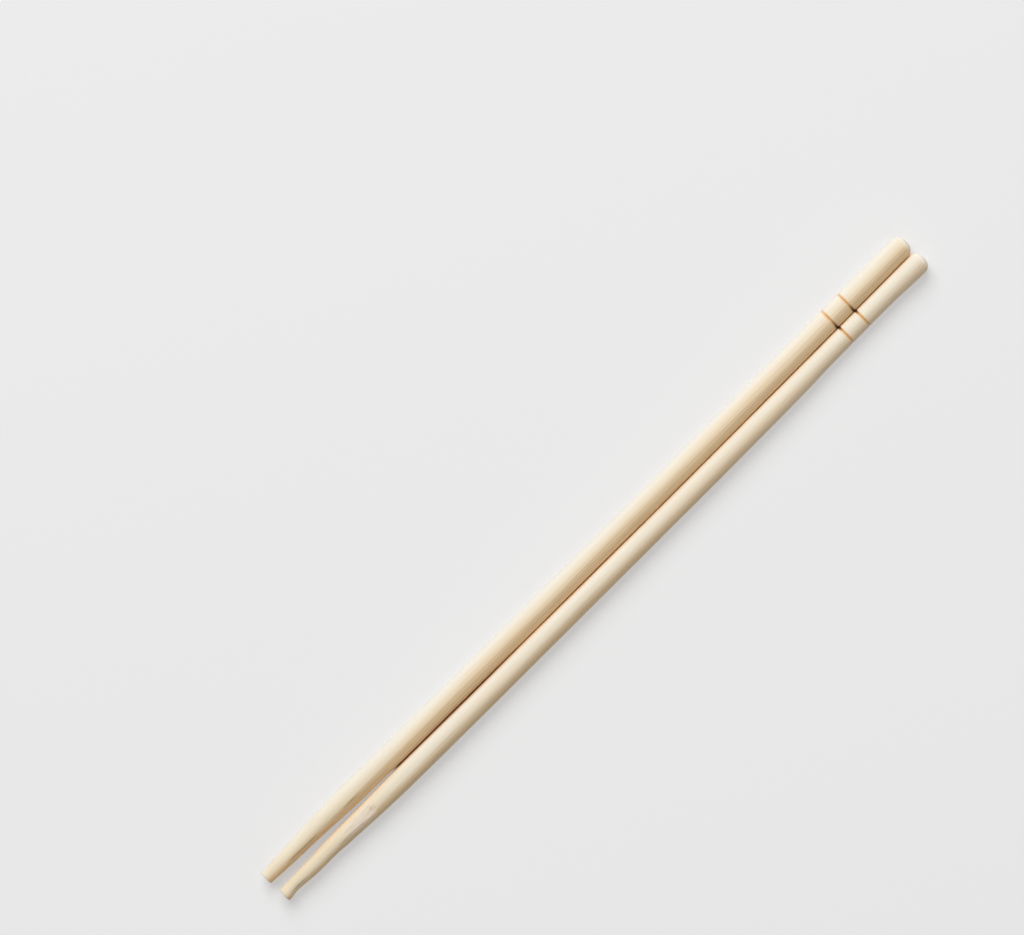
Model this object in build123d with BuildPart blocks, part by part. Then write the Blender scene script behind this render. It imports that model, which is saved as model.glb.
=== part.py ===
import os
from math import asin, cos, sin, sqrt

from build123d import *

os.makedirs("parts", exist_ok=True)

# A pair of round bamboo chopsticks, lying side by side as they rest on a table.
# X runs along them from the tips to the heads, Y across them, and Z up from the table.
# The origin is on the table, in the middle of the pair.

# Both sticks
stick_length = 210.0
bow_radius = 10000.0  # both sticks are bowed, with the hollow side towards +Y
seam_clearance = 0.05  # between the sticks, where they lie against each other
head_lead = 0.25  # how far the right head stands out past the left one
body_spans = 6  # the bowed body is made of this many straight spans

# Tip: a short cone to the neck, cut off square, and then the taper in narrow bands
neck_from_tip = 3.5
tip_edge_chamfer = 0.2
taper_bands = 6

# Head: a straight end with a crown, a rounded rim and two burnt rings
head_end_length = 30.0
head_crown_height = 0.9
head_rim_radius = 1.3
ring_from_head = 19.8
ring_spacing = 5.45
ring_width = 0.65
ring_depth = 0.27

# Left stick: a short, full taper
left_tip_diameter = 3.15
left_neck_diameter = 3.6
left_taper_swell = 0.15  # how far the taper's side stands out past a straight cone
left_taper_length = 32.0
left_body_diameter = 5.65
left_head_diameter = 5.5

# Right stick: a longer and leaner taper that flares at the tip, and a slimmer head
right_tip_diameter = 3.35
right_neck_diameter = 3.05
right_taper_swell = 0.13
right_taper_length = 41.0
right_body_diameter = 5.6
right_head_diameter = 5.15

# Torn spot on top of the right taper: a strip of fibres has lifted out, deepest at the
# end towards the head, where it broke off
scar_from_tip = 20.5
scar_length = 8.4
scar_depth = 0.3

left = {
    "side": 1,
    "tip_x": -(stick_length + head_lead) / 2,
    "tip_diameter": left_tip_diameter,
    "neck_diameter": left_neck_diameter,
    "taper_swell": left_taper_swell,
    "taper_length": left_taper_length,
    "body_diameter": left_body_diameter,
    "head_diameter": left_head_diameter,
}
right = {
    "side": -1,
    "tip_x": -(stick_length - head_lead) / 2,
    "tip_diameter": right_tip_diameter,
    "neck_diameter": right_neck_diameter,
    "taper_swell": right_taper_swell,
    "taper_length": right_taper_length,
    "body_diameter": right_body_diameter,
    "head_diameter": right_head_diameter,
}
head_start = stick_length - head_end_length


# The body narrows evenly from the end of the taper to the start of the head end
def body_radius(stick, from_tip):
    share = (from_tip - stick["taper_length"]) / (head_start - stick["taper_length"])
    share = min(max(share, 0), 1)
    return (stick["body_diameter"] * (1 - share) + stick["head_diameter"] * share) / 2


# The taper widens from the neck to the body, and its sides swell between them
def taper_radius(stick, from_tip):
    share = (from_tip - neck_from_tip) / (stick["taper_length"] - neck_from_tip)
    cone = (stick["neck_diameter"] * (1 - share) + stick["body_diameter"] * share) / 2
    return cone + 4 * share * (1 - share) * stick["taper_swell"]


# How far the bow carries a stick towards +Y, at this distance from the middle
def bow(x):
    return bow_radius - sqrt(bow_radius**2 - x**2)


# The seam lies where the pair's box is centred on the origin. The straight head end
# falls short of the full bow by the bow of its own length
left_reach = bow(stick_length / 2) - bow(head_end_length) + left_head_diameter
right_reach = 2 * body_radius(right, stick_length / 2)
seam_y = (right_reach - left_reach) / 2


# The plane square to a stick's centre line, where its underside lies on the table and
# its inner side on the seam. The tip and the taper keep the line that the body starts with
def across(stick, from_tip):
    radius = body_radius(stick, from_tip)
    x = stick["tip_x"] + from_tip
    y = seam_y + bow(x) + stick["side"] * (radius + seam_clearance / 2)
    turn = asin(x / bow_radius)
    return Plane((x, y, radius), x_dir=(0, 0, -1), z_dir=(cos(turn), sin(turn), 0))


# The plane along a stick's centre line, for a profile that is turned about it
def along(station):
    return Plane(station.origin, x_dir=station.z_dir, z_dir=station.y_dir)


def chopstick(stick):
    shoulder = stick["taper_length"]
    with BuildPart() as turned:
        for span in range(body_spans + 1):
            from_tip = shoulder + (head_start - shoulder) * span / body_spans
            with BuildSketch(across(stick, from_tip)):
                Circle(body_radius(stick, from_tip))
        loft(ruled=True)

        # Tip and taper
        start = across(stick, shoulder)
        side_line = [(-shoulder, stick["tip_diameter"] / 2)]
        for band in range(taper_bands + 1):
            from_tip = neck_from_tip + (shoulder - neck_from_tip) * band / taper_bands
            side_line.append((from_tip - shoulder, taper_radius(stick, from_tip)))
        with BuildSketch(along(start)) as tip_profile:
            with BuildLine():
                Polyline(*side_line, (0, 0), (-shoulder, 0), close=True)
            make_face()
            tip_edge = tip_profile.vertices().group_by(Axis.X)[0].sort_by(Axis.Y)[-1]
            chamfer(tip_edge, tip_edge_chamfer)
        revolve(axis=Axis(start.origin, start.z_dir))

        # Head end
        end = across(stick, head_start)
        head_radius = stick["head_diameter"] / 2
        rim = (head_end_length - head_crown_height, head_radius)
        ring = (head_end_length - ring_from_head, head_radius)
        next_ring = (ring[0] - ring_spacing, head_radius)
        with BuildSketch(along(end)) as head_profile:
            with BuildLine():
                Polyline(rim, (0, head_radius), (0, 0), (head_end_length, 0))
                TangentArc((head_end_length, 0), rim, tangent=(0, 1))
            make_face()
            rim_corner = head_profile.vertices().group_by(Axis.Y)[-1].sort_by(Axis.X)[-1]
            fillet(rim_corner, head_rim_radius)
            with Locations(ring, next_ring):
                Polygon(
                    (-ring_width / 2, 0),
                    (0, -ring_depth),
                    (ring_width / 2, 0),
                    align=(Align.CENTER, Align.MAX),
                    mode=Mode.SUBTRACT,
                )
        revolve(axis=Axis(end.origin, end.z_dir))
    return turned.part


with BuildPart() as left_chopstick:
    add(chopstick(left))
left_chopstick.part.label = "left_chopstick"
export_step(left_chopstick.part, "parts/left_chopstick.step")

scar = across(right, scar_from_tip)
scar_floor = scar.origin.Z + taper_radius(right, scar_from_tip + scar_length) - scar_depth
with BuildPart() as right_chopstick:
    add(chopstick(right))
    with Locations((scar.origin.X, scar.origin.Y, scar_floor)):
        Box(
            scar_length,
            right_body_diameter,
            right_body_diameter,
            align=(Align.MIN, Align.CENTER, Align.MIN),
            mode=Mode.SUBTRACT,
        )
right_chopstick.part.label = "right_chopstick"
export_step(right_chopstick.part, "parts/right_chopstick.step")
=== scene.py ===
import random
from math import asin, atan2, cos, hypot, pi, radians, sin, sqrt, tan

import bmesh
import bpy
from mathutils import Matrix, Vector


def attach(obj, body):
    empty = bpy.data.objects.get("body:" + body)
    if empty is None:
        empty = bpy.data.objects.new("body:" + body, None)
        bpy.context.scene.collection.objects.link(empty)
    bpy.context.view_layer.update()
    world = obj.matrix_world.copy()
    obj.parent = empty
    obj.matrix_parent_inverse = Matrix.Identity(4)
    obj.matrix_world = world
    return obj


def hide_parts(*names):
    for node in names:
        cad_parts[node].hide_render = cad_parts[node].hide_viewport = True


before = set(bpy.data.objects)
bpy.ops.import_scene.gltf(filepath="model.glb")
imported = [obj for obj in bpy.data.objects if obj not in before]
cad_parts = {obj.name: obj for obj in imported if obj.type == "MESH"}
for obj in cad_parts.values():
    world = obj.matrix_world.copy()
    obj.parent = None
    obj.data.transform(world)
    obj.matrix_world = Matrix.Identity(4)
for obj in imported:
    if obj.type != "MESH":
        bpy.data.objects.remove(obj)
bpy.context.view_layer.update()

# A pair of round bamboo chopsticks on a pale matt floor, seen from straight above.
# Sizes are in mm, from the tip of a stick to its head along +X, and mm turns them to metres.
mm = 0.001
random.seed(7)
print("frame loaded:", sorted(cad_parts))

pair = {
    "length": 210.0,
    "bowRadius": 10000.0,  # the hollow side is towards +Y
    "seamY": -0.307,
    "clearance": 0.05,
    "headStart": 180.0,  # from here the head end is straight
    "crown": 1.1,  # height of the domed head
    "rim": 2.0,  # radius of its rounded edge
    "tipBevel": 0.14,
    "ringFromHead": 20.02,
    "ringSpacing": 5.45,
    "ringWidth": 0.72,
    "ringDepth": 0.2,
    "sides": 128,
    "smoothAngle": 38.0,  # degrees, above which an edge stays sharp
}
# Steps of the mesh along a stick in mm, and how many rings there are where they are even
meshing = {
    "endRings": 5,  # in the sawn end
    "taper": 0.26,
    "taperRings": 160,
    "body": 0.7,
    "besideRing": 0.2,
    "inRing": 0.06,
    "besideReach": 0.8,  # from the middle of a burnt ring
    "inReach": 0.42,
    "straightEnd": 2.3,  # before the crown, where the steps along the body end
    "rimSteps": 14,
    "crownSteps": 10,
}


# Where the bake map puts the surface, in shares of its side
bakeMap = {
    "rows": 3,
    "margin": 0.004,
    "width": 0.93,
    "rowFill": 0.975,  # share of a row's height that is used
    "facing": 0.8,  # an end face turns at least this much along the stick
    "tipFace": 1.0,  # mm from the tip that its end face reaches at most
    "headFace": 1.6,  # and mm from the head
    "faceU": 0.9725,
    "tipV": 0.1,
    "headV": 0.2,
    "faceScale": 0.05 / 5.8,  # for each mm of an end face
}


# The value at a place in rows of (place, value, ...), on a smooth curve through the rows
def along(rows, column, place):
    if place <= rows[0][0]:
        return rows[0][column]
    if place >= rows[-1][0]:
        return rows[-1][column]
    k = max(i for i, row in enumerate(rows) if row[0] <= place)

    def slope(i):
        a, b = max(i - 1, 0), min(i + 1, len(rows) - 1)
        return (rows[b][column] - rows[a][column]) / (rows[b][0] - rows[a][0])

    gap = rows[k + 1][0] - rows[k][0]
    t = (place - rows[k][0]) / gap
    return (
        (2 * t**3 - 3 * t**2 + 1) * rows[k][column]
        + (t**3 - 2 * t**2 + t) * gap * slope(k)
        + (3 * t**2 - 2 * t**3) * rows[k + 1][column]
        + (t**3 - t**2) * gap * slope(k + 1)
    )


def bow(x):
    return pair["bowRadius"] - sqrt(pair["bowRadius"] ** 2 - x**2)


# Centre of the stick at this distance from its tip. The taper and the head end run on
# straight, and where the stick is thicker than it was turned, it still lies on the table
def centreAt(stick, fromTip):
    held = min(max(fromTip, stick["shoulder"]), pair["headStart"])
    share = (held - stick["shoulder"]) / (pair["headStart"] - stick["shoulder"])
    radius = (stick["body"] * (1 - share) + stick["head"] * share) / 2
    x = stick["tipX"] + held
    y = pair["seamY"] + bow(x) + stick["side"] * (radius + pair["clearance"] / 2)
    run = fromTip - held
    y += run * tan(asin(x / pair["bowRadius"])) + along(stick["rows"], 2, fromTip)
    return Vector((x + run, y, max(radius, along(stick["rows"], 1, fromTip) / 2)))


# How far a place is from the middle of the nearer burnt ring
def awayFromRing(fromTip):
    middle = pair["length"] - pair["ringFromHead"] - pair["ringSpacing"] / 2
    return abs(abs(fromTip - middle) - pair["ringSpacing"] / 2)


# How far a burnt ring cuts in: halfway between a V and a soft groove
def ringCut(fromTip):
    share = max(0.0, 1 - awayFromRing(fromTip) / (pair["ringWidth"] / 2))
    return pair["ringDepth"] * (share * share * (3 - 2 * share) + share) / 2


# Rings of the turned shape, as (distance from the tip, radius)
def profileOf(stick):
    length, rim = pair["length"], pair["rim"]
    places = [pair["tipBevel"] + meshing["taper"] * i for i in range(meshing["taperRings"])]
    while places[-1] < length - pair["crown"] - meshing["straightEnd"]:
        away = awayFromRing(places[-1])
        if away < meshing["inReach"]:
            step = meshing["inRing"]
        elif away < meshing["besideReach"]:
            step = meshing["besideRing"]
        else:
            step = meshing["body"]
        places.append(places[-1] + step)
    # The bake map is cut into rows here
    rowEnds = {length * i / bakeMap["rows"] for i in range(1, bakeMap["rows"])}
    places = sorted({round(p, 4) for p in places} | rowEnds)
    rings = [(0.0, stick["rows"][0][1] / 2 - pair["tipBevel"])]
    rings += [(p, along(stick["rows"], 1, p) / 2 - ringCut(p)) for p in places]
    # Rounded rim and crown, two arcs that meet without a corner
    radius = along(stick["rows"], 1, length) / 2
    dome = (radius**2 + pair["crown"] ** 2) / (2 * pair["crown"])
    rimX = length - dome + sqrt((dome - rim) ** 2 - (radius - rim) ** 2)
    meet = atan2(radius - rim, rimX - length + dome)
    for i in range(meshing["rimSteps"] + 1):
        turn = pi / 2 + (meet - pi / 2) * i / meshing["rimSteps"]
        rings.append((rimX + rim * cos(turn), radius - rim + rim * sin(turn)))
    for i in range(1, meshing["crownSteps"]):
        turn = meet * (1 - i / meshing["crownSteps"])
        rings.append((length - dome + dome * cos(turn), dome * sin(turn)))
    return rings


def selectOnly(piece):
    bpy.ops.object.select_all(action="DESELECT")
    piece.select_set(True)
    bpy.context.view_layer.objects.active = piece


# Selects in edit mode the vertices that pass a test of their place in mm
def selectWhere(test):
    piece = bpy.context.edit_object
    work = bmesh.from_edit_mesh(piece.data)
    for vertex in work.verts:
        vertex.select = bool(test(vertex.co / mm))
    work.select_flush(True)
    work.select_flush(False)
    bmesh.update_edit_mesh(piece.data)


def turnStick(stick):
    rings = profileOf(stick)
    bpy.ops.object.select_all(action="DESELECT")
    start = centreAt(stick, 0)
    bpy.ops.mesh.primitive_circle_add(
        vertices=pair["sides"],
        radius=rings[0][1] * mm,
        fill_type="NOTHING",
        location=start * mm,
        rotation=(0, pi / 2, 0),
    )
    piece = bpy.context.object
    piece.name = stick["name"]
    piece.data.name = stick["name"]
    bpy.ops.object.transform_apply(location=True, rotation=True, scale=True)
    bpy.ops.object.mode_set(mode="EDIT")
    bpy.ops.mesh.select_all(action="SELECT")
    # The sawn end, closed towards its middle
    for ring in range(meshing["endRings"] - 1, 0, -1):
        share = ring / (ring + 1)
        bpy.ops.mesh.extrude_region_move(TRANSFORM_OT_translate={"value": (0, 0, 0)})
        bpy.ops.transform.resize(value=(1, share, share), center_override=start * mm)
    bpy.ops.mesh.merge(type="CENTER")
    bpy.ops.mesh.select_all(action="DESELECT")
    bpy.ops.mesh.select_non_manifold()
    # The stick itself, ring by ring
    for (fromTip, radius), (nextFromTip, nextRadius) in zip(rings, rings[1:]):
        centre, nextCentre = centreAt(stick, fromTip), centreAt(stick, nextFromTip)
        bpy.ops.mesh.extrude_region_move(
            TRANSFORM_OT_translate={"value": (nextCentre - centre) * mm}
        )
        share = nextRadius / radius
        bpy.ops.transform.resize(
            value=(1, share, share), center_override=nextCentre * mm
        )
    bpy.ops.mesh.merge(type="CENTER")
    bpy.ops.mesh.select_all(action="SELECT")
    bpy.ops.mesh.normals_make_consistent(inside=False)
    bpy.ops.mesh.select_all(action="DESELECT")
    bpy.ops.object.mode_set(mode="OBJECT")
    return piece


# Presses a pattern of long fibres into the surface. The pattern is as long and as wide as
# its size says, and the modifier is applied at once
def pressFibres(piece, settings):
    pattern = bpy.data.textures.new("fibrePattern", "CLOUDS")
    pattern.noise_scale = 1.0
    pattern.noise_depth = settings["depth"]
    bpy.ops.object.select_all(action="DESELECT")
    bpy.ops.object.empty_add(location=settings["shift"])
    guide = bpy.context.object
    guide.scale = [size * mm for size in settings["size"]]
    bpy.context.view_layer.update()
    selectOnly(piece)
    press = piece.modifiers.new("press", "DISPLACE")
    press.texture = pattern
    press.texture_coords = "OBJECT"
    press.texture_coords_object = guide
    press.direction = settings["direction"]
    press.strength = settings["strength"] * mm
    press.mid_level = settings["level"]
    press.vertex_group = settings.get("group", "")
    bpy.ops.object.modifier_apply(modifier=press.name)
    bpy.data.objects.remove(guide)
    bpy.data.textures.remove(pattern)


# The bake map: three lengths of the unrolled stick, one above the
# other, and its two end faces in a column beside them
def unrollMap(piece, stick):
    layer = piece.data.uv_layers.new(name="OFBake")
    rows = bakeMap["rows"]
    run = pair["length"] / rows
    headFrom = pair["length"] - bakeMap["headFace"]
    for face in piece.data.polygons:
        middle = face.center / mm
        fromTip = middle.x - stick["tipX"]
        axis = centreAt(stick, fromTip)
        row = min(max(int(fromTip / run), 0), rows - 1)
        turn = atan2(middle.y - axis.y, -(middle.z - axis.z))
        onSide = bakeMap["tipFace"] < fromTip < headFrom
        atEnd = abs(face.normal.x) > bakeMap["facing"] and not onSide
        faceV = bakeMap["tipV"] if fromTip < pair["length"] / 2 else bakeMap["headV"]
        for corner in face.loop_indices:
            place = piece.data.vertices[piece.data.loops[corner].vertex_index].co / mm
            axis = centreAt(stick, place.x - stick["tipX"])
            if atEnd:
                u = bakeMap["faceU"] + (place.y - axis.y) * bakeMap["faceScale"]
                v = faceV + (place.z - axis.z) * bakeMap["faceScale"]
            else:
                here = atan2(place.y - axis.y, -(place.z - axis.z))
                if hypot(place.y - axis.y, place.z - axis.z) < 1e-3:
                    here = turn
                here += 2 * pi * round((turn - here) / (2 * pi))
                share = (place.x - stick["tipX"] - row * run) / run
                u = bakeMap["margin"] + share * bakeMap["width"]
                v = (row + 0.5 + here / (2 * pi) * bakeMap["rowFill"]) / rows
            layer.uv[corner].vector = (u, v)


leftStick = {
    "name": "leftStick",
    "node": "left_chopstick",
    "side": 1,
    "tipX": -105.125,
    "shoulder": 32.0,
    "body": 5.65,
    "head": 5.5,
    "rows": [  # from the tip, thickness, lean towards +Y
        (0.0, 3.28, -0.09),
        (1.4, 3.42, -0.08),
        (4.5, 3.84, -0.03),
        (9.8, 4.3, 0.06),
        (14.0, 4.6, 0.15),
        (19.0, 4.94, 0.185),
        (24.0, 5.3, 0.13),
        (28.4, 5.47, 0.09),
        (34.0, 5.47, 0.1),
        (37.3, 5.48, 0.09),
        (40.0, 5.63, 0.01),
        (46.0, 5.63, 0.0),
        (60.0, 5.6, 0.005),
        (80.0, 5.6, 0.0),
        (105.0, 5.575, 0.0),
        (125.0, 5.61, -0.03),
        (180.0, 5.56, -0.03),
        (210.0, 5.56, -0.03),
    ],
}
rightStick = {
    "name": "rightStick",
    "node": "right_chopstick",
    "side": -1,
    "tipX": -104.875,
    "shoulder": 41.0,
    "body": 5.6,
    "head": 5.15,
    "rows": [
        (0.0, 3.3, -0.2),
        (0.9, 3.38, -0.19),
        (1.9, 3.18, -0.06),
        (2.6, 3.1, 0.02),
        (3.8, 3.16, 0.04),
        (5.9, 3.47, 0.0),
        (9.4, 3.81, -0.045),
        (11.7, 3.92, 0.0),
        (14.0, 3.985, 0.08),
        (16.4, 4.12, 0.11),
        (18.7, 4.36, 0.07),
        (21.0, 4.5, 0.05),
        (25.6, 4.78, 0.0),
        (28.0, 4.94, -0.04),
        (32.6, 5.18, -0.07),
        (37.3, 5.4, -0.07),
        (40.5, 5.51, -0.03),
        (43.0, 5.52, -0.04),
        (60.0, 5.49, -0.035),
        (75.0, 5.47, -0.015),
        (100.0, 5.415, -0.01),
        (125.0, 5.345, -0.07),
        (148.0, 5.335, -0.1),
        (161.0, 5.305, -0.107),
        (170.0, 5.2, -0.07),
        (177.0, 5.02, 0.01),
        (197.0, 5.0, 0.01),
        (201.5, 5.155, -0.065),
        (205.5, 5.335, -0.155),
        (210.0, 5.335, -0.155),
    ],
}

# Where a strip of fibres has lifted out of the right taper
tear = {
    "from": 20.5,
    "to": 28.9,
    "floorZ": 5.0,
    "slope": 0.5 * tan(radians(9.0)),  # down towards +Y
    "kept": 0.35,  # share of the round surface that still shows in the floor of the tear
    "lip": 0.7,  # mm over which the broken end rises to the surface
    "lipKept": 0.5,  # share of its height that the lip keeps
    "spotFromEnd": 0.3,
    # The two ragged ends: a shift in mm, then waves with their height, rate and start
    "startWaves": (-0.8, (0.5, 7, 0)),
    "endWaves": (-0.35, (0.3, 9, 0), (0.22, 23, 1)),
}
# Loose fibres at the broken end of the tear, in mm
splinter = {
    "count": 7,
    "place": (0.1, 0.9),  # share of its own part of the spread
    "spread": 1.9,
    "shift": 0.15,
    "length": (1.0, 3.2),
    "radius": (0.04, 0.08),
    "rise": (0.0, 0.08),
    "root": 0.25,  # past the end of the tear
    "height": (0.0, 0.12),  # above its floor
    "drift": (-0.08, 0.08),
    "sides": 8,
    "steps": 4,
    "narrowing": (1, 0.75, 0.68),
}

grainPress = {
    "size": (38.0, 0.75, 0.75),
    "depth": 2,
    "shift": (0, 0, 0),
    "direction": "NORMAL",
    "strength": 0.028,
    "level": 0.5,
}
turningPress = {
    "size": (9.0, 2.6, 2.6),
    "depth": 1,
    "shift": (0.3, 0.1, 0),
    "direction": "NORMAL",
    "strength": 0.05,
    "level": 0.5,
}
tornPress = {
    "size": (2.6, 0.2, 0.6),
    "depth": 3,
    "shift": (0.1, 0, 0),
    "direction": "Z",
    "strength": 0.07,
    "level": 0.6,
    "group": "tornFloor",
}


# Waves across the stick that make an end ragged
def raggedShift(waves, y):
    return waves[0] + sum(height * sin(y * rate + start) for height, rate, start in waves[1:])


# The end of the tear towards the head is ragged
def tearEnd(y):
    return tear["to"] + raggedShift(tear["endWaves"], y)


def tearOut(piece, stick):
    axis = centreAt(stick, (tear["from"] + tear["to"]) / 2)
    pivot = Vector((axis.x, axis.y, tear["floorZ"])) * mm

    def inside(place):
        fromTip = place.x - stick["tipX"]
        floor = tear["floorZ"] - (place.y - axis.y) * tear["slope"]
        start = tear["from"] + raggedShift(tear["startWaves"], place.y)
        return place.z > floor and start < fromTip < tearEnd(place.y - axis.y)

    def onLip(place):
        past = place.x - stick["tipX"] - tearEnd(place.y - axis.y)
        return place.z > tear["floorZ"] and 0 <= past < tear["lip"]

    selectOnly(piece)
    bpy.ops.object.mode_set(mode="EDIT")
    selectWhere(inside)
    bpy.ops.transform.resize(value=(1, 1, tear["kept"]), center_override=pivot)
    piece.vertex_groups.new(name="tornFloor")
    bpy.ops.object.vertex_group_assign()
    bpy.ops.mesh.select_all(action="DESELECT")
    selectWhere(onLip)
    bpy.ops.transform.resize(value=(1, 1, tear["lipKept"]), center_override=pivot)
    bpy.ops.object.mode_set(mode="OBJECT")
    pressFibres(piece, tornPress)
    print("tear pressed in")


def makeSplinters(piece, stick):
    made = []
    middleY = centreAt(stick, tear["to"]).y
    for i in range(splinter["count"]):
        share = (i + random.uniform(*splinter["place"])) / splinter["count"]
        y = middleY + (share - 0.5) * splinter["spread"] + splinter["shift"]
        length = random.uniform(*splinter["length"])
        thick = random.uniform(*splinter["radius"])
        rise = random.uniform(*splinter["rise"])
        x = stick["tipX"] + tearEnd(y - middleY) + splinter["root"]
        z = tear["floorZ"] + random.uniform(*splinter["height"])
        bpy.ops.object.select_all(action="DESELECT")
        bpy.ops.mesh.primitive_circle_add(
            vertices=splinter["sides"],
            radius=thick * mm,
            fill_type="NGON",
            location=(x * mm, y * mm, z * mm),
            rotation=(0, pi / 2, 0),
        )
        made.append(bpy.context.object)
        bpy.ops.object.transform_apply(location=True, rotation=True, scale=True)
        bpy.ops.object.mode_set(mode="EDIT")
        bpy.ops.mesh.select_all(action="SELECT")
        place = Vector((x, y, z))
        drift = random.uniform(*splinter["drift"])
        for step in range(splinter["steps"]):
            move = Vector((-length, drift, rise * (step - 1))) / splinter["steps"]
            place = place + move
            bpy.ops.mesh.extrude_region_move(
                TRANSFORM_OT_translate={"value": move * mm}
            )
            bpy.ops.transform.resize(
                value=splinter["narrowing"], center_override=place * mm
            )
        bpy.ops.mesh.select_all(action="SELECT")
        bpy.ops.mesh.normals_make_consistent(inside=False)
        bpy.ops.object.mode_set(mode="OBJECT")
    selectOnly(piece)
    for lifted in made:
        lifted.select_set(True)
    bpy.ops.object.join()
    print("splinters joined:", len(made))


# An sRGB hex colour as the linear colour that a socket takes
def fromHex(text):
    values = [int(text[i : i + 2], 16) / 255 for i in (0, 2, 4)]
    return [v / 12.92 if v <= 0.04045 else ((v + 0.055) / 1.055) ** 2.4 for v in values] + [1.0]


# Adds a node. An input takes a value, another node, or one of its outputs
def addNode(tree, kind, settings=None, inputs=None):
    node = tree.nodes.new(kind)
    for name, value in (settings or {}).items():
        setattr(node, name, value)
    for name, value in (inputs or {}).items():
        if isinstance(value, bpy.types.Node):
            value = value.outputs[0]
        if isinstance(value, bpy.types.NodeSocket):
            tree.links.new(value, node.inputs[name])
        else:
            node.inputs[name].default_value = value
    return node


leftBamboo = {
    "name": "turnedBambooTwoTone",
    # painted highlight: the edge that faces the lamp is drawn whiter
    "litEdgeHighlight": "EDE6D8",
    "pith": "ECE1CB",
    "pithWarm": "EEDDC1",
    "taperTone": "EBDDC0",
    "bundle": "DFBE92",
    "bundleDark": "A9825A",
    "denseTone": "F0D1A5",
    "denseShare": 0.97,
    "denseLine": -0.2,  # mm from the axis, where the denser growth begins on the body
    "taperLine": -0.5,  # and on the taper
    "taperCrisp": 2.6,  # how much sharper it begins there
    "denseTurn": 0.0,  # degrees about the stick, 0 is towards -Y
    "lineTone": "9C8152",
    "lineShift": 0.42,  # mm past the start of the denser growth
    "lineRuns": ((5.5, 17.0), (23.5, 30.0)),  # mm from the tip, where the line shows dark
    "streaks": 0.14,  # how much the brown streaks show in the denser growth
    "headPale": 0.1,  # how much paler the denser side grows towards the head: painted light on its shaded side
    # rim: painted bounce light from the right stick, on the side that lies against it
    "rim": "FBDBAB",
    "rimShare": 0.9,
    "rimFrom": 0.42,  # share of the radius towards the other stick, where the rim colour begins: on this stick it is painted bounce light
    "seamShadeShare": 0.3,  # how much the painted shade of the seam shows on this stick
    "ringShadeFrom": 0.1,  # share of the radius, where the rings begin to turn from tan to black, painted shade deep in the grooves by the seam
    "ringShadeFull": 1.05,  # and where they are black
    "seed": 3.1,
}
rightBamboo = {
    "name": "turnedBambooPale",
    # painted highlight: the edge that faces the lamp is drawn whiter
    "litEdgeHighlight": "ECE5D6",
    "pith": "ECE2CE",
    "pithWarm": "EDDFC6",
    "taperTone": "EBDABA",
    "bundle": "E2C69D",
    "bundleDark": "B0906A",
    "denseTone": "EBCEA4",
    "denseShare": 0.92,
    "denseLine": -0.45,
    "taperLine": -0.6,
    "taperCrisp": 2.0,
    "denseTurn": -8.0,
    "lineTone": "A0895C",
    "lineShift": 0.0,
    "lineRuns": ((1.0, 8.0), (16.5, 27.0)),
    "streaks": 0.1,
    "headPale": 0.45,
    # rim: partly a tan band of the bamboo, partly painted shade and warm bounce light from the left
    # stick
    "rim": "ECBF89",
    "rimShare": 0.65,
    "rimFrom": 0.69,
    "seamShadeShare": 0.85,
    "ringShadeFrom": 0.45,
    "ringShadeFull": 0.95,
    "seed": 11.7,
}
bamboo = {
    "bodyFrom": 52.0,  # mm from the tip, where the body's look is all there
    "taperTo": 30.0,  # and where the taper's is
    "denseEdge": (-1.4, 1.3),  # mm before and past its line, where the denser growth begins
    "tipRadius": 1.75,  # mm, the radius that the look of the tip is laid out on
    "ringRagged": 0.14,  # mm
    "bundleSpacing": 0.46,  # mm between vascular bundles
    "wander": 0.42,  # mm that a bundle wanders to either side
    # Each pattern's length along the stick and width across it in mm, its detail and its place.
    # The fibres are drawn about twice as coarse as real ones
    "patterns": {
        "drift": (46.0, 2.4, 2.0, 0.0),
        "fibres": (22.0, 0.176, 2.0, 5.0),
        "streaks": (64.0, 0.5, 2.0, 3.0),
        "clouds": (70.0, 3.2, 2.0, 9.0),
        "ragged": (0.5, 0.35, 3.0, 1.0),
        "rough": (2.6, 0.22, 3.0, 4.0),
    },
    "scorched": "EDCCA0",
    "burnt": "E4B680",
    "charred": "BD8448",
    # painted shade: the rings' grooves near black where they meet the seam
    "seamRingShade": "66391A",
    "seamShade": "A06C3A",  # painted shade in the crevice along the seam, behind the tapers
    # painted light on the shaded side near the head
    "headPaintedLight": "F5E1C8",
    # painted highlight on the domed head end
    "capHighlight": "F8F1E4",
    "capLength": 1.3,
    "torn": "EFE4D8",
    "tornDark": "D2B08A",
    "roughness": 0.62,
    "ior": 1.5,
    "sheen": 0.2,  # specular level: the sanded surface scatters most of its reflections
    "relief": 0.35,
    "reliefHeight": 0.03,  # mm
    "reliefFibres": 0.6,
    "reliefBundles": 0.4,
}


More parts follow.
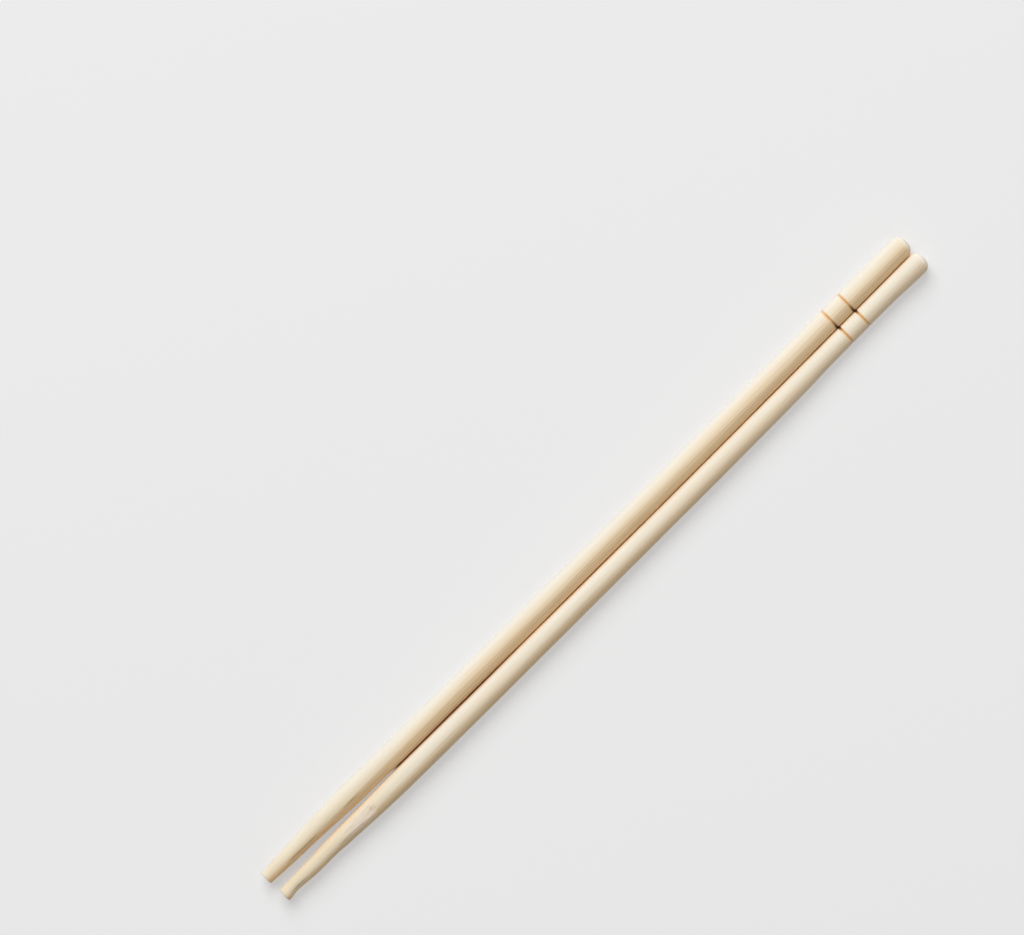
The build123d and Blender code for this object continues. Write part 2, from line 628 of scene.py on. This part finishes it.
# Bamboo, turned and sanded, with no varnish: pale pith with long bundles of tan fibres, which
# are closer together towards the outside of the stem. It has a dull, dry sheen. The grooves
# were burnt in by friction
def makeBamboo(stick, tone):
    material = bpy.data.materials.new(tone["name"])
    material.use_nodes = True
    tree = material.node_tree
    tree.nodes.clear()
    tipX = stick["tipX"]
    headX = tipX + pair["length"]
    bodyX, taperX = tipX + bamboo["bodyFrom"], tipX + bamboo["taperTo"]
    radius = (stick["body"] + stick["head"]) / 4
    middleY = pair["seamY"] + stick["side"] * (radius + pair["clearance"] / 2)
    soft = {"interpolation_type": "SMOOTHSTEP"}
    plus = {"operation": "ADD"}
    minus = {"operation": "SUBTRACT"}
    times = {"operation": "MULTIPLY"}
    timesPlus = {"operation": "MULTIPLY_ADD"}

    # Straight coordinates in mm: x along the stick, the others from its bowed centre line
    coord = addNode(tree, "ShaderNodeTexCoord").outputs["Object"]
    inMm = addNode(tree, "ShaderNodeVectorMath", {"operation": "SCALE"}, {0: coord, "Scale": 1 / mm})
    x, y, z = addNode(tree, "ShaderNodeSeparateXYZ", {}, {0: inMm}).outputs
    squared = addNode(tree, "ShaderNodeMath", times, {0: x, 1: x})
    unbowed = addNode(
        tree, "ShaderNodeMath", timesPlus, {0: squared, 1: -1 / (2 * pair["bowRadius"]), 2: y}
    )
    sideways = addNode(tree, "ShaderNodeMath", minus, {0: unbowed, 1: middleY})
    upwards = addNode(tree, "ShaderNodeMath", minus, {0: z, 1: radius})
    straight = addNode(tree, "ShaderNodeCombineXYZ", {}, {0: x, 1: sideways, 2: upwards})

    patterns = {}
    for name, (run, width, detail, shift) in bamboo["patterns"].items():
        place = addNode(
            tree,
            "ShaderNodeMapping",
            {"vector_type": "POINT"},
            {
                "Vector": straight,
                "Location": (tone["seed"] + shift, shift, 0),
                "Scale": (1 / run, 1 / width, 1 / width),
            },
        )
        patterns[name] = addNode(
            tree, "ShaderNodeTexNoise", {}, {"Vector": place, "Scale": 1.0, "Detail": detail}
        )

    # Bundles run along the stick and wander slowly
    most = bamboo["wander"]
    drift = addNode(
        tree,
        "ShaderNodeVectorMath",
        timesPlus,
        {0: patterns["drift"].outputs["Color"], 1: (0, most * 2, most * 2), 2: (0, -most, -most)},
    )
    wander = addNode(tree, "ShaderNodeVectorMath", plus, {0: drift, 1: straight})
    wanderParts = addNode(tree, "ShaderNodeSeparateXYZ", {}, {0: wander}).outputs
    across = addNode(tree, "ShaderNodeCombineXYZ", {}, {0: wanderParts[1], 1: wanderParts[2]})
    cells = addNode(
        tree,
        "ShaderNodeTexVoronoi",
        {"voronoi_dimensions": "2D", "feature": "F1"},
        {"Vector": across, "Scale": 1 / bamboo["bundleSpacing"]},
    ).outputs
    cellShade = addNode(tree, "ShaderNodeSeparateColor", {}, {0: cells["Color"]})

    # Denser growth on one side of the stick
    turn = radians(tone["denseTurn"])
    outward = addNode(
        tree,
        "ShaderNodeVectorMath",
        {"operation": "DOT_PRODUCT"},
        {0: wander, 1: (0, -cos(turn), sin(turn))},
    ).outputs["Value"]
    lineAt = addNode(
        tree,
        "ShaderNodeMapRange",
        soft,
        {"Value": x, 1: bodyX, 2: taperX, 3: -tone["denseLine"], 4: -tone["taperLine"]},
    )
    pastLine = addNode(tree, "ShaderNodeMath", minus, {0: outward, 1: lineAt})
    crisper = addNode(
        tree,
        "ShaderNodeMapRange",
        soft,
        {"Value": x, 1: bodyX, 2: taperX, 3: 1.0, 4: tone["taperCrisp"]},
    )
    sharpened = addNode(tree, "ShaderNodeMath", times, {0: pastLine, 1: crisper})
    begins, full = bamboo["denseEdge"]
    dense = addNode(tree, "ShaderNodeMapRange", soft, {"Value": sharpened, 1: begins, 2: full})

    # How far a place is turned towards the other stick, from -1 to 1
    localRadius = addNode(
        tree,
        "ShaderNodeMapRange",
        {},
        {"Value": x, 1: tipX, 2: tipX + stick["shoulder"], 3: bamboo["tipRadius"], 4: radius},
    )
    sideShare = addNode(
        tree, "ShaderNodeMath", {"operation": "DIVIDE"}, {0: sideways, 1: localRadius}
    )
    towardsMate = addNode(tree, "ShaderNodeMath", times, {0: sideShare, 1: -stick["side"]})

    # How far a place is from the middle of a burnt ring, with a ragged edge
    ringsX = headX - pair["ringFromHead"] - pair["ringSpacing"] / 2
    offMiddle = addNode(tree, "ShaderNodeMath", minus, {0: x, 1: ringsX})
    eitherSide = addNode(tree, "ShaderNodeMath", {"operation": "ABSOLUTE"}, {0: offMiddle})
    offRing = addNode(
        tree, "ShaderNodeMath", minus, {0: eitherSide, 1: pair["ringSpacing"] / 2}
    )
    away = addNode(tree, "ShaderNodeMath", {"operation": "ABSOLUTE"}, {0: offRing})
    ragged = addNode(
        tree, "ShaderNodeMath", timesPlus, {0: patterns["ragged"], 1: bamboo["ringRagged"], 2: away}
    )

    line = tone["lineShift"]
    # Shares: each is a soft step of something from one value to another, and goes from 0 to 1
    # or between the last two numbers of its row
    steps = {
        "clouds": (patterns["clouds"], 0.3, 0.75),
        # painted highlight on the side that faces the lamp
        "litEdge": (pastLine, -1.0, -2.6),
        "onTaper": (x, tipX + 50, tipX + 22),
        "taperFade": (towardsMate, 0.1, -0.95, 1.0, 0.35),
        "core": (cells["Distance"], 0.5, 0.16),
        "coreShow": (dense, 0.0, 1.0, 0.16, 0.6),
        "vessel": (cells["Distance"], 0.2, 0.05),
        "vesselShow": (dense, 0.0, 1.0, 0.07, 0.4),
        "someCells": (cellShade, 0.25, 0.9),
        "fibres": (patterns["fibres"], 0.5, 0.75),
        "fibreShow": (dense, 0.0, 1.0, 0.1, 0.3),
        "streaks": (patterns["streaks"], 0.5, 0.66),
        "rim": (towardsMate, tone["rimFrom"], 1.0),
        "nextToSeam": (towardsMate, 0.78, 0.98),
        "seamBegins": (x, tipX + 36, tipX + 41),
        "seamFades": (x, tipX + 88, tipX + 62),
        "lineStart": (pastLine, line - 0.3, line - 0.06),
        "lineEnd": (pastLine, line + 0.4, line + 0.06),
        "nearHead": (x, 0.0, headX - 25),
        "capHighlight": (x, headX - bamboo["capLength"], headX - bamboo["capLength"] + 0.5),
        "ringHalo": (ragged, 0.85, 0.36),
        "ringBurn": (ragged, 0.5, 0.26),
        "ringCore": (ragged, 0.26, 0.08),
        # rings fade away from the other stick; on the left stick this is painted light on the side
        # that faces the lamp
        "ringFade": (towardsMate, -0.3, -0.85, 1.0, 0.5),
        "ringWide": (ragged, 0.52, 0.3),
        # painted shade in the rings towards the seam
        "seamRingShade": (towardsMate, tone["ringShadeFrom"], tone["ringShadeFull"]),
    }
    # What is laid over the pith: a colour, the shares that it shows by, and how strongly
    layers = [
        (tone["pithWarm"], ("clouds",), 1.0),
        # painted highlight: whiter along the edge that faces the lamp
        (tone["litEdgeHighlight"], ("litEdge",), 1.0),
        (tone["taperTone"], ("onTaper", "taperFade"), 0.8),
        (tone["denseTone"], ("dense",), tone["denseShare"]),
        # side towards the other stick: painted bounce light on the left stick, partly a tan band and
        # partly painted shade on the right
        (tone["rim"], ("rim",), tone["rimShare"]),
        # painted shade deep in the seam, where the sticks lie against each other
        (bamboo["seamShade"], ("nextToSeam", "seamBegins", "seamFades"), tone["seamShadeShare"]),
        (tone["bundle"], ("core", "someCells", "coreShow"), 1.0),
        (tone["bundleDark"], ("vessel", "someCells", "vesselShow"), 1.0),
        (tone["bundleDark"], ("fibres", "fibreShow"), 1.0),
        (tone["bundleDark"], ("streaks", "dense"), tone["streaks"]),
        # painted light: the shaded, denser side grows paler near the head
        (bamboo["headPaintedLight"], ("nearHead", "dense"), tone["headPale"]),
        # painted highlight on the domed head end
        (bamboo["capHighlight"], ("capHighlight",), 0.7),
        # rings paler on the side away from the other stick: painted light on the left stick
        (bamboo["scorched"], ("ringHalo", "ringFade"), 0.55),
        (bamboo["burnt"], ("ringBurn", "ringFade"), 0.95),
        (bamboo["charred"], ("ringCore", "ringFade"), 0.45),
        # painted shade in the rings' grooves by the seam
        (bamboo["seamRingShade"], ("ringWide", "seamRingShade"), 0.95),
    ]
    # A dark line along the edge of the denser growth, where the taper cuts across it: partly the
    # grain, partly painted shade where the taper turns from the light
    for k, (begin, end) in enumerate(tone["lineRuns"]):
        steps[f"runStart{k}"] = (x, tipX + begin, tipX + begin + 3)
        steps[f"runEnd{k}"] = (x, tipX + end, tipX + end - 3)
        shown = ("lineStart", "lineEnd", f"runStart{k}", f"runEnd{k}")
        layers.append((tone["lineTone"], shown, 0.5))
    # Torn fibres are paler and a little pink, with a tan spot where the strip broke off
    if stick is rightStick:
        spotPlace = (tipX + tear["to"] - tear["spotFromEnd"], 0.0, tear["floorZ"] - radius)
        offSpot = addNode(
            tree, "ShaderNodeVectorMath", {"operation": "DISTANCE"}, {0: straight, 1: spotPlace}
        ).outputs["Value"]
        steps["tearStart"] = (x, tipX + tear["from"] - 2.5, tipX + tear["from"] + 2.5)
        steps["tearStop"] = (x, tipX + tear["to"] + 0.6, tipX + tear["to"] - 0.9)
        steps["onTop"] = (z, tear["floorZ"] - 0.45, tear["floorZ"] - 0.1)
        steps["rough"] = (patterns["rough"], 0.5, 0.66)
        steps["spot"] = (offSpot, 0.75, 0.2)
        layers.append((bamboo["torn"], ("tearStart", "tearStop", "onTop"), 0.5))
        layers.append((bamboo["tornDark"], ("tearStart", "tearStop", "onTop", "rough"), 0.35))
        layers.append((bamboo["tornDark"], ("spot",), 0.38))

    shares = {"dense": dense}
    for name, (value, low, high, *ends) in steps.items():
        least, most = ends or (0.0, 1.0)
        shares[name] = addNode(
            tree, "ShaderNodeMapRange", soft, {"Value": value, 1: low, 2: high, 3: least, 4: most}
        )
    colour = fromHex(tone["pith"])
    for hexColour, names, strength in layers:
        shown = addNode(tree, "ShaderNodeMath", times, {0: shares[names[0]], 1: strength})
        for name in names[1:]:
            shown = addNode(tree, "ShaderNodeMath", times, {0: shown, 1: shares[name]})
        colour = addNode(
            tree,
            "ShaderNodeMix",
            {"data_type": "RGBA"},
            {0: shown, 6: colour, 7: fromHex(hexColour)},
        ).outputs[2]

    coreHeight = addNode(
        tree, "ShaderNodeMath", times, {0: shares["core"], 1: bamboo["reliefBundles"]}
    )
    height = addNode(
        tree,
        "ShaderNodeMath",
        timesPlus,
        {0: patterns["fibres"], 1: bamboo["reliefFibres"], 2: coreHeight},
    )
    relief = addNode(
        tree,
        "ShaderNodeBump",
        {},
        {"Strength": bamboo["relief"], "Distance": bamboo["reliefHeight"] * mm, "Height": height},
    )
    shader = addNode(
        tree,
        "ShaderNodeBsdfPrincipled",
        {},
        {
            "Base Color": colour,
            "Roughness": bamboo["roughness"],
            "IOR": bamboo["ior"],
            "Specular IOR Level": bamboo["sheen"],
            "Normal": relief,
        },
    )
    addNode(tree, "ShaderNodeOutputMaterial", {}, {"Surface": shader})
    return material


for stick, tone in ((leftStick, leftBamboo), (rightStick, rightBamboo)):
    piece = turnStick(stick)
    pressFibres(piece, turningPress)
    pressFibres(piece, grainPress)
    if stick is rightStick:
        tearOut(piece, stick)
        makeSplinters(piece, stick)
    selectOnly(piece)
    bpy.ops.object.shade_smooth_by_angle(angle=radians(pair["smoothAngle"]))
    unrollMap(piece, stick)
    piece.data.materials.append(makeBamboo(stick, tone))
    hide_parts(stick["node"])
    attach(piece, "root")
    print(stick["name"], "turned:", len(piece.data.polygons), "faces")


stageSet = {
    "floorSize": 3.0,  # m
    "floor": "EDEDED",
    "roughness": 0.9,
    "sheen": 0.1,
    "backdrop": "EDEDED",
    "lift": 0.52,  # share of its own colour that the camera sees, which keeps the shadows pale
    "seamHalf": 1.2,  # mm to either side of the seam, where the floor isn't lifted
    "seamStart": -66.5,  # mm, where the two sticks come together
    "seamEnd": 103.0,  # mm, just short of their heads
    "seamSoft": 0.6,  # mm over which the lift returns beside the seam
    "endSoft": 1.5,  # and past its ends
}
light = {
    "worldStrength": 0.18,
    "lamps": [  # name, place in m, size in m, power in W
        ("softbox", (0.626, 1.458, 1.801), 2.0, 59.1),
        ("reflector", (-0.239, -1.829, 1.536), 1.6, 6.2),
    ],
}
view = {
    "place": (2.8, 30.34, 1802.8),  # mm
    "turn": -44.848,  # degrees
    "focalPixels": 7740.0,
    "frameWidth": 1024,
    "sensor": 36.0,  # mm
    "clip": (0.01, 100),  # m
}

bpy.ops.object.select_all(action="DESELECT")
bpy.ops.mesh.primitive_plane_add(size=stageSet["floorSize"], location=(0, 0, 0))
floor = bpy.context.object
floor.name = "floor"
matt = bpy.data.materials.new("paleMattFloor")  # a matt painted board, with no sheen
matt.use_nodes = True
tree = matt.node_tree
tree.nodes.clear()
board = addNode(
    tree,
    "ShaderNodeBsdfPrincipled",
    {},
    {
        "Base Color": fromHex(stageSet["floor"]),
        "Roughness": stageSet["roughness"],
        "Specular IOR Level": stageSet["sheen"],
    },
)
pale = addNode(tree, "ShaderNodeEmission", {}, {"Color": fromHex(stageSet["floor"])})
looked = addNode(tree, "ShaderNodeLightPath").outputs["Is Camera Ray"]
# Deep between the sticks, where they lie against each other, the floor isn't lifted
soft = {"interpolation_type": "SMOOTHSTEP"}
largest = {"operation": "MAXIMUM"}
coord = addNode(tree, "ShaderNodeTexCoord").outputs["Object"]
inMm = addNode(tree, "ShaderNodeVectorMath", {"operation": "SCALE"}, {0: coord, "Scale": 1 / mm})
x, y, z = addNode(tree, "ShaderNodeSeparateXYZ", {}, {0: inMm}).outputs
squared = addNode(tree, "ShaderNodeMath", {"operation": "MULTIPLY"}, {0: x, 1: x})
unbowed = addNode(
    tree,
    "ShaderNodeMath",
    {"operation": "MULTIPLY_ADD"},
    {0: squared, 1: -1 / (2 * pair["bowRadius"]), 2: y},
)
offSeam = addNode(tree, "ShaderNodeMath", {"operation": "SUBTRACT"}, {0: unbowed, 1: pair["seamY"]})
eitherSide = addNode(tree, "ShaderNodeMath", {"operation": "ABSOLUTE"}, {0: offSeam})
clear = 0.0
for value, unlifted, lifted in (
    (eitherSide, stageSet["seamHalf"], stageSet["seamHalf"] + stageSet["seamSoft"]),
    (x, stageSet["seamStart"] + stageSet["endSoft"], stageSet["seamStart"]),
    (x, stageSet["seamEnd"] - stageSet["endSoft"], stageSet["seamEnd"]),
):
    share = addNode(
        tree,
        "ShaderNodeMapRange",
        soft,
        {"Value": value, 1: unlifted, 2: lifted, 4: stageSet["lift"]},
    )
    clear = addNode(tree, "ShaderNodeMath", largest, {0: clear, 1: share})
lift = addNode(tree, "ShaderNodeMath", {"operation": "MULTIPLY"}, {0: looked, 1: clear})
floorSeen = addNode(tree, "ShaderNodeMixShader", {}, {0: lift, 1: board, 2: pale})
addNode(tree, "ShaderNodeOutputMaterial", {}, {"Surface": floorSeen})
floor.data.materials.append(matt)

for name, place, size, power in light["lamps"]:
    towards = Vector((0, 0, 0)) - Vector(place)
    bpy.ops.object.light_add(
        type="AREA", location=place, rotation=towards.to_track_quat("-Z", "Y").to_euler()
    )
    lamp = bpy.context.object
    lamp.name = name
    lamp.data.shape = "DISK"
    lamp.data.size = size
    lamp.data.energy = power

world = bpy.data.worlds.new("softRoom")
bpy.context.scene.world = world
world.use_nodes = True
tree = world.node_tree
tree.nodes.clear()
seen = addNode(tree, "ShaderNodeLightPath").outputs["Is Camera Ray"]
sky = addNode(
    tree, "ShaderNodeBackground", {}, {"Color": (1, 1, 1, 1), "Strength": light["worldStrength"]}
)
back = addNode(
    tree, "ShaderNodeBackground", {}, {"Color": fromHex(stageSet["backdrop"]), "Strength": 1.0}
)
both = addNode(tree, "ShaderNodeMixShader", {}, {0: seen, 1: sky, 2: back})
addNode(tree, "ShaderNodeOutputWorld", {}, {"Surface": both})

bpy.ops.object.camera_add(
    location=Vector(view["place"]) * mm, rotation=(0, 0, radians(view["turn"]))
)
camera = bpy.context.object
camera.name = "camera"
camera.data.sensor_width = view["sensor"]
camera.data.lens = view["focalPixels"] / view["frameWidth"] * view["sensor"]
camera.data.clip_start, camera.data.clip_end = view["clip"]
bpy.context.scene.camera = camera
bpy.context.scene.view_settings.view_transform = "Standard"
print("stage, light and camera placed")
